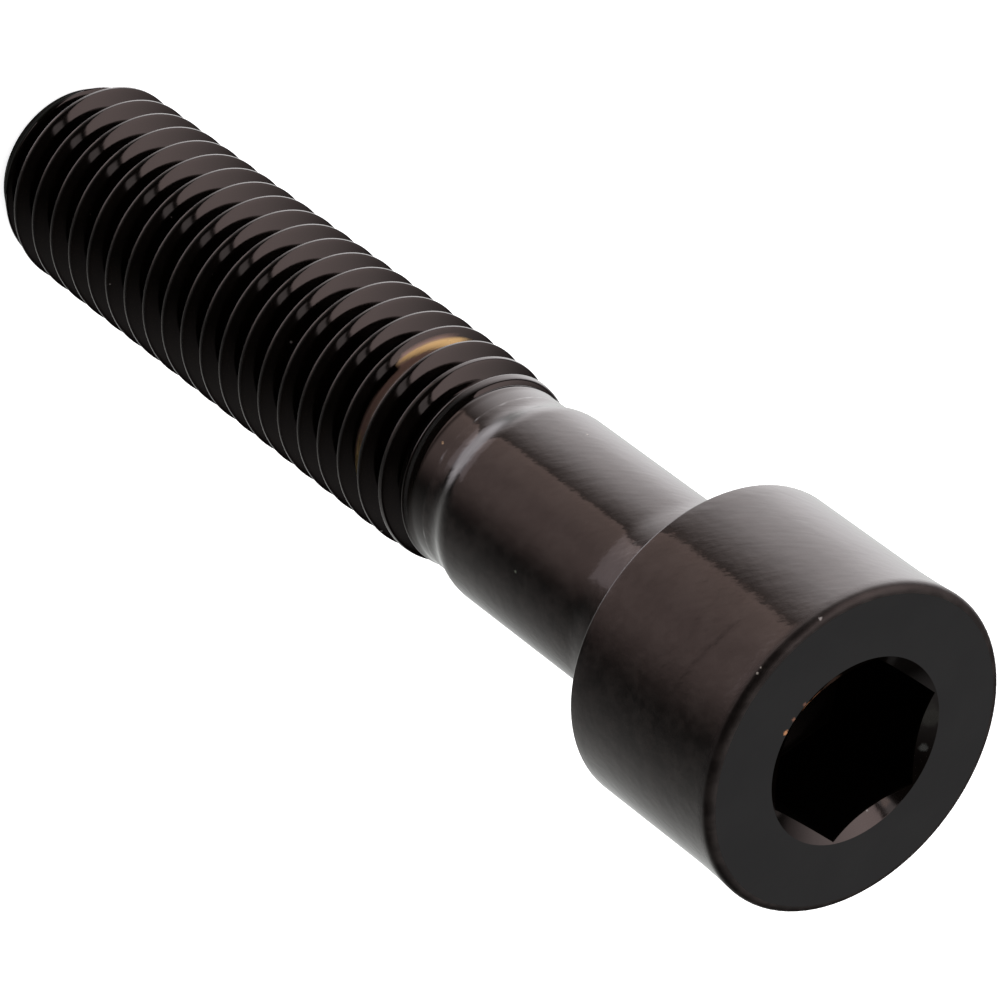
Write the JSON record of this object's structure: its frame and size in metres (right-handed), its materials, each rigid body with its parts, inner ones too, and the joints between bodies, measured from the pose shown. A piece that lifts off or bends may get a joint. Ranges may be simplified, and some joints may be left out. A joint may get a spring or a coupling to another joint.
{
  "type": "socket head cap screw",
  "caption": "Cylindrical-head screw with a hexagon socket, plain shank and right-hand coarse thread, used to clamp machine parts with a hexagon key.",
  "frame": {"origin": "centre of the flat thread end, on which the screw stands", "axes": "+Z along the screw's axis from the thread end up to the head; +X through a corner of the hexagon socket"},
  "size_m": [0.0124, 0.0124, 0.0478],
  "materials": {
    "black_coated_steel": "glossy black coating with a warm tint"
  },
  "bodies": {
    "root": {"cap_screw": "black_coated_steel"}
  },
  "joints": []
}
